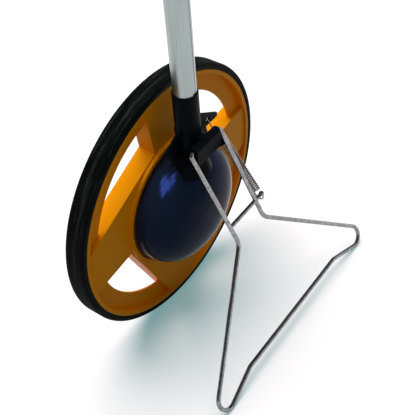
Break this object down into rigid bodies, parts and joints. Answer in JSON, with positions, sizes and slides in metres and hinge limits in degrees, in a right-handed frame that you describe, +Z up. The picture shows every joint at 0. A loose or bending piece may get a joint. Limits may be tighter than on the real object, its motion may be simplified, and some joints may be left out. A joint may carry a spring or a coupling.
{
  "type": "digital measuring wheel",
  "caption": "Digital measuring wheel with a spoked orange wheel, domed sensor hub, folding wire stand, telescopic pole and display handle.",
  "frame": {"origin": "point on the floor where the tyre touches it, with the wheel leaning on its open stand", "axes": "+Z up from the floor to the display head, -Y from the wheel to the stand, +X along the stand's hinge, the way the wheel rolls"},
  "size_m": [0.318, 0.3502, 1.0312],
  "materials": {
    "tyre_rubber": "satin ribbed rubber",
    "wheel_plastic": "glossy orange moulding",
    "dome_plastic": "glossy navy-black moulding",
    "black_plastic": "satin black moulding",
    "tube_metal": "satin silver tube",
    "chrome_wire": "bright plated wire",
    "spring_steel": "plated spring wire",
    "steel": "zinc-plated steel",
    "contact_metal": "plated spring contacts",
    "grip_rubber": "soft ribbed rubber",
    "bush_plastic": "slippery white plastic",
    "board_laminate": "green circuit board",
    "lead_jacket": "black cable jacket",
    "disc_plastic": "dark slotted disc",
    "lcd": "grey-green liquid crystal panel",
    "lens_clear": "clear window",
    "cell_jacket": "plain jacketed cells",
    "key_grey": "grey silicone keys",
    "key_red": "red silicone key"
  },
  "bodies": {
    "frame": {"hub_base": "black_plastic", "axle_bolt": "steel", "bearing_inner_rings": "steel", "bearing_spacers": "steel", "axle_washer": "steel", "axle_nut": "steel", "dome_cover": "dome_plastic", "dome_screws": "steel", "sensor_board": "board_laminate", "sensor_fork": "black_plastic", "board_screws": "steel", "sensor_lead": "lead_jacket", "pole_bracket": "black_plastic", "bracket_screws": "steel", "tube_screw": "steel", "pole_sleeve": "black_plastic", "lower_tube": "tube_metal", "clamp_collar": "black_plastic", "clamp_bolt": "steel", "lever_pin": "steel", "tube_bush": "bush_plastic", "stand_spring": "spring_steel", "coil_lead": "lead_jacket"},
    "wheel": {"tyre": "tyre_rubber", "wheel_rim": "wheel_plastic", "bearing_outer_rings": "steel", "bearing_balls": "steel", "encoder_disc": "disc_plastic", "encoder_screws": "steel", "hub_cap": "black_plastic"},
    "stand": {"stand_wire": "chrome_wire", "stand_crossbar": "chrome_wire", "spring_stud": "chrome_wire"},
    "lever": {"clamp_lever": "black_plastic"},
    "upper_pole": {"upper_tube": "tube_metal", "tube_glide": "bush_plastic", "grip": "grip_rubber", "head_rear": "black_plastic", "head_front": "black_plastic", "head_screws": "steel", "display_board": "board_laminate", "display_lead": "lead_jacket", "lcd_panel": "lcd", "display_lens": "lens_clear", "batteries": "cell_jacket", "battery_contacts": "contact_metal", "battery_door": "black_plastic", "door_screw": "steel"},
    "key_power_button": {"key_power": "key_red"},
    "key_unit_button": {"key_unit": "key_grey"},
    "key_hold_button": {"key_hold": "key_grey"},
    "key_zero_button": {"key_zero": "key_grey"}
  },
  "joints": [
    {"name": "wheel_spin", "type": "hinge", "parent": "frame", "child": "wheel", "pos_m": [0, -0.03116, 0.15612], "axis": [0, 0.9668, 0.2555], "continuous": true},
    {"name": "stand_fold", "type": "hinge", "parent": "frame", "child": "stand", "pos_m": [0, -0.11689, 0.24372], "axis": [-1, 0, 0], "range_deg": [0, 152], "deforming": ["stand_spring"]},
    {"name": "pole_slide", "type": "slide", "parent": "frame", "child": "upper_pole", "axis": [0, -0.2555, 0.9668], "range_m": [-0.201, 0], "deforming": ["coil_lead"]},
    {"name": "lever_swing", "type": "hinge", "parent": "frame", "child": "lever", "pos_m": [0.02, -0.19276, 0.55817], "axis": [0, -0.2555, 0.9668], "range_deg": [0, 110]},
    {"name": "key_power_press", "type": "slide", "parent": "upper_pole", "child": "key_power_button", "axis": [1, 0, 0], "range_m": [0, 0.0008], "stiffness_N_per_m": 150},
    {"name": "key_unit_press", "type": "slide", "parent": "upper_pole", "child": "key_unit_button", "axis": [1, 0, 0], "range_m": [0, 0.0008], "stiffness_N_per_m": 150},
    {"name": "key_hold_press", "type": "slide", "parent": "upper_pole", "child": "key_hold_button", "axis": [1, 0, 0], "range_m": [0, 0.0008], "stiffness_N_per_m": 150},
    {"name": "key_zero_press", "type": "slide", "parent": "upper_pole", "child": "key_zero_button", "axis": [1, 0, 0], "range_m": [0, 0.0008], "stiffness_N_per_m": 150}
  ]
}
